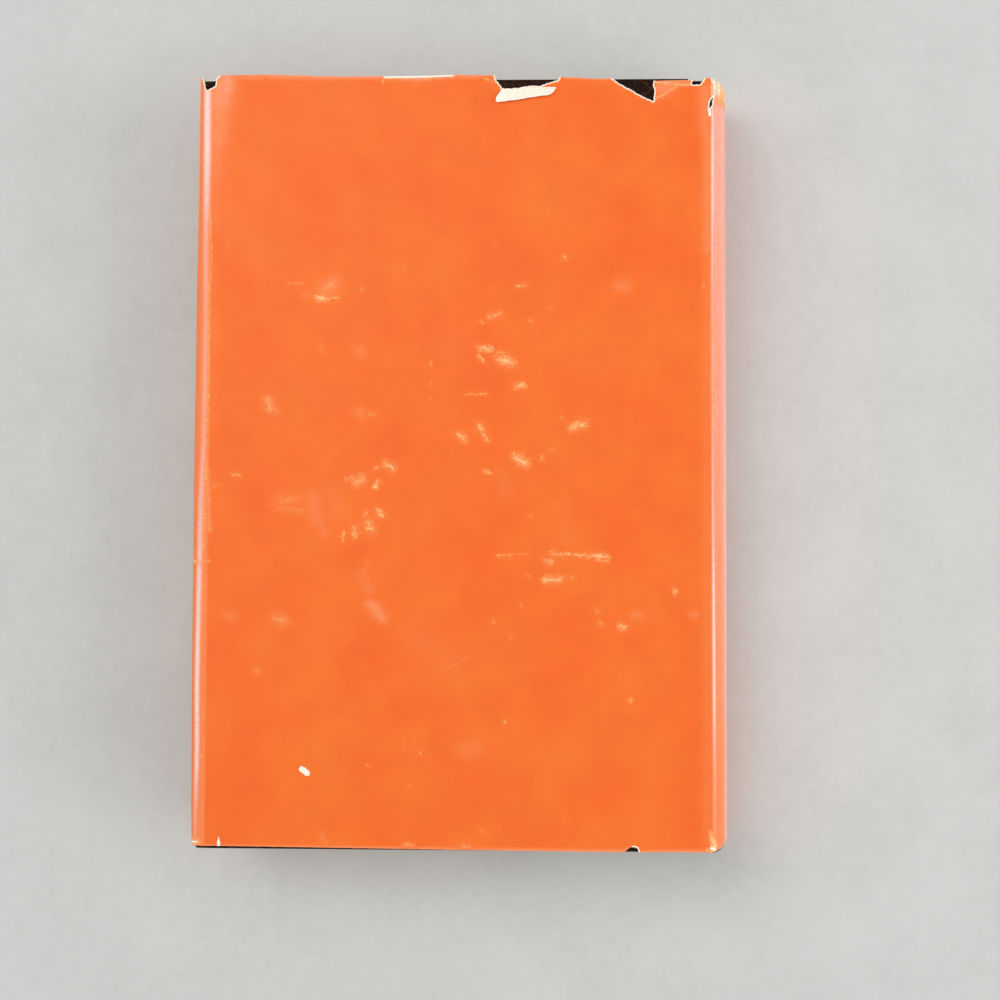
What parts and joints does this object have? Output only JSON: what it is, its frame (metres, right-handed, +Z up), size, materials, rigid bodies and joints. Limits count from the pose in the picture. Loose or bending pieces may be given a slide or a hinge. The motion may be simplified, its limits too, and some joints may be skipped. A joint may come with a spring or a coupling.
{
  "type": "hardback book",
  "caption": "Closed hardback book in a worn orange paper dust jacket, torn at the head, over dark cloth boards; both covers open",
  "frame": {"origin": "centre of the closed book's footprint, on the surface that it lies on", "axes": "+X from the fore edge to the spine, +Y from the tail to the head, +Z up from the front cover to the back cover"},
  "size_m": [0.1502, 0.2172, 0.0272],
  "materials": {
    "jacket_paper": "satin",
    "jacket_spine_paper": "satin",
    "case_cloth": "matte",
    "grey_board": "matte",
    "pages": "matte",
    "endpaper": "matte",
    "kraft_paper": "matte",
    "gauze": "matte",
    "band_cloth": "matte"
  },
  "bodies": {
    "text_block": {"text_block": "pages", "mull_lining": "gauze", "spine_lining": "kraft_paper", "head_band": "band_cloth", "tail_band": "band_cloth", "front_free_endpaper": "endpaper", "back_free_endpaper": "endpaper", "spine_strip": "kraft_paper", "spine_cloth": "case_cloth", "jacket_spine": "jacket_spine_paper"},
    "front_cover": {"front_board": "grey_board", "front_pastedown": "endpaper", "front_cover_cloth": "case_cloth", "jacket_front": "jacket_paper"},
    "back_cover": {"back_board": "grey_board", "back_pastedown": "endpaper", "back_cover_cloth": "case_cloth", "jacket_back": "jacket_paper"}
  },
  "joints": [
    {"name": "back_cover_hinge", "type": "hinge", "parent": "text_block", "child": "back_cover", "pos_m": [0.0665, 0, 0.0271], "axis": [0, 1, 0], "range_deg": [0, 178]},
    {"name": "front_cover_hinge", "type": "hinge", "parent": "text_block", "child": "front_cover", "pos_m": [0.0665, 0, -0.0001], "axis": [0, -1, 0], "range_deg": [0, 178]}
  ]
}
